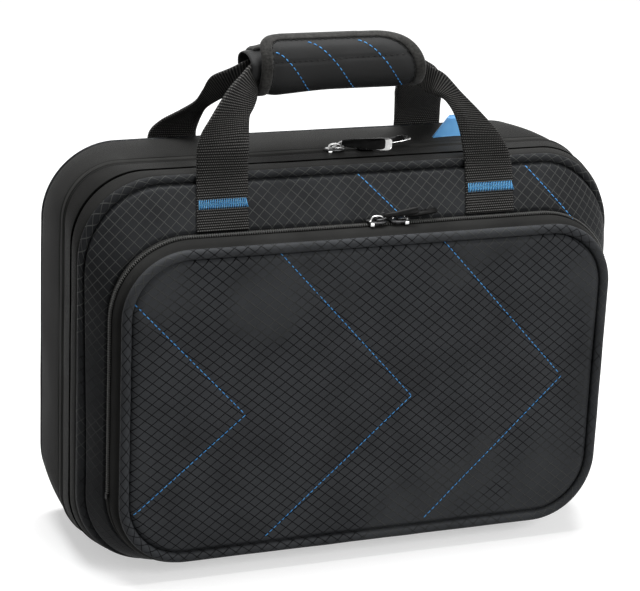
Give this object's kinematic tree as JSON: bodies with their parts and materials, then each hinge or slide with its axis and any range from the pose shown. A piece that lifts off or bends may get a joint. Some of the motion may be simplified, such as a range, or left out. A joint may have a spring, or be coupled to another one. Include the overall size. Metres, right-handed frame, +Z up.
{
  "type": "clarinet case",
  "caption": "Soft-sided clarinet case with zipped lid, fitted foam insert, zipped front pocket and a webbing handle with a wrap-round grip.",
  "frame": {"origin": "bottom centre of the overall box, on the face the case stands on", "axes": "+X across the case, -Y towards the pocket, +Z up"},
  "size_m": [0.345, 0.1284, 0.319],
  "materials": {
    "twill": "smooth coated twill",
    "ripstop": "coated diamond ripstop",
    "piping": "covered cord",
    "webbing": "ribbed webbing",
    "tape": "woven zipper tape",
    "coil": "nylon coil",
    "board": "stiff board",
    "foam": "closed-cell foam",
    "plush": "short plush",
    "neoprene": "padded neoprene",
    "hook_loop": "hook-and-loop tape",
    "blue_thread": "stitched thread",
    "tag": "woven satin ribbon",
    "zinc": "gunmetal plated"
  },
  "bodies": {
    "back_half": {"back_wall": "twill", "back_panel": "ripstop", "back_piping": "piping", "back_core": "foam", "back_board": "board", "back_zip_tape": "tape", "back_zip_coil": "coil", "back_spine_leaf": "twill", "instrument_insert": "foam", "insert_plush": "plush", "rear_strap_ends": "webbing", "rear_bar_tacks": "blue_thread", "side_tag": "tag"},
    "lid": {"front_zip_tape": "tape", "front_zip_coil": "coil", "front_spine_leaf": "twill", "front_wall": "twill", "front_core": "foam", "front_board": "board", "lid_pad": "foam", "lid_plush": "plush", "front_panel": "ripstop", "front_piping": "piping", "front_strap_ends": "webbing", "front_bar_tacks": "blue_thread", "pocket_rear_tape": "tape", "pocket_rear_coil": "coil", "pocket_base_band": "twill", "pocket_base_panel": "ripstop", "pocket_base_piping": "piping", "pocket_zip_stops": "webbing"},
    "pocket_flap": {"pocket_flap_band": "twill", "pocket_flap_panel": "ripstop", "pocket_flap_piping": "piping", "pocket_front_coil": "coil"},
    "front_handle": {"front_strap": "webbing", "grip_wrap": "neoprene", "grip_loop_tape": "hook_loop"},
    "grip_closure": {"grip_flap": "neoprene", "grip_hook_tape": "hook_loop"},
    "rear_handle": {"rear_strap": "webbing"},
    "main_slider_left": {"main_slider_left": "zinc"},
    "main_puller_left": {"main_puller_left": "zinc"},
    "main_slider_right": {"main_slider_right": "zinc"},
    "main_puller_right": {"main_puller_right": "zinc"},
    "pocket_slider_left": {"pocket_slider_left": "zinc"},
    "pocket_puller_left": {"pocket_puller_left": "zinc"},
    "pocket_slider_right": {"pocket_slider_right": "zinc"},
    "pocket_puller_right": {"pocket_puller_right": "zinc"}
  },
  "joints": [
    {"name": "lid_hinge", "type": "hinge", "parent": "back_half", "child": "lid", "pos_m": [0, 0.00695, 0], "axis": [1, 0, 0], "range_deg": [0, 180]},
    {"name": "pocket_fold", "type": "hinge", "parent": "lid", "child": "pocket_flap", "pos_m": [0, -0.0643, 0.056], "axis": [1, 0, 0], "range_deg": [0, 75]},
    {"name": "front_handle_fold", "type": "hinge", "parent": "lid", "child": "front_handle", "pos_m": [0, -0.02709, 0.24615], "axis": [1, 0, 0], "range_deg": [0, 110]},
    {"name": "rear_handle_fold", "type": "hinge", "parent": "back_half", "child": "rear_handle", "pos_m": [0, 0.06425, 0.24615], "axis": [1, 0, 0], "range_deg": [-100, 0]},
    {"name": "grip_closure_lift", "type": "hinge", "parent": "front_handle", "child": "grip_closure", "pos_m": [0, -0.00737, 0.28913], "axis": [1, 0, 0], "range_deg": [0, 120]},
    {"name": "main_slide_left", "type": "slide", "parent": "back_half", "child": "main_slider_left", "axis": [1, 0, 0], "range_m": [-0.124, 0]},
    {"name": "main_pull_left", "type": "hinge", "parent": "main_slider_left", "child": "main_puller_left", "pos_m": [-0.001, 0.00695, 0.24585], "axis": [0, -1, 0], "range_deg": [0, 150]},
    {"name": "main_slide_right", "type": "slide", "parent": "back_half", "child": "main_slider_right", "axis": [1, 0, 0], "range_m": [0, 0.105]},
    {"name": "main_pull_right", "type": "hinge", "parent": "main_slider_right", "child": "main_puller_right", "pos_m": [0.02, 0.00695, 0.24585], "axis": [0, -1, 0], "range_deg": [0, 120]},
    {"name": "pocket_slide_left", "type": "slide", "parent": "lid", "child": "pocket_slider_left", "axis": [1, 0, 0], "range_m": [-0.1105, 0]},
    {"name": "pocket_pull_left", "type": "hinge", "parent": "pocket_slider_left", "child": "pocket_puller_left", "pos_m": [0.0055, -0.05005, 0.21565], "axis": [0, -1, 0], "range_deg": [0, 150]},
    {"name": "pocket_slide_right", "type": "slide", "parent": "lid", "child": "pocket_slider_right", "axis": [1, 0, 0], "range_m": [0, 0.0855]},
    {"name": "pocket_pull_right", "type": "hinge", "parent": "pocket_slider_right", "child": "pocket_puller_right", "pos_m": [0.0195, -0.05005, 0.21565], "axis": [0, -1, 0], "range_deg": [0, 90]}
  ]
}
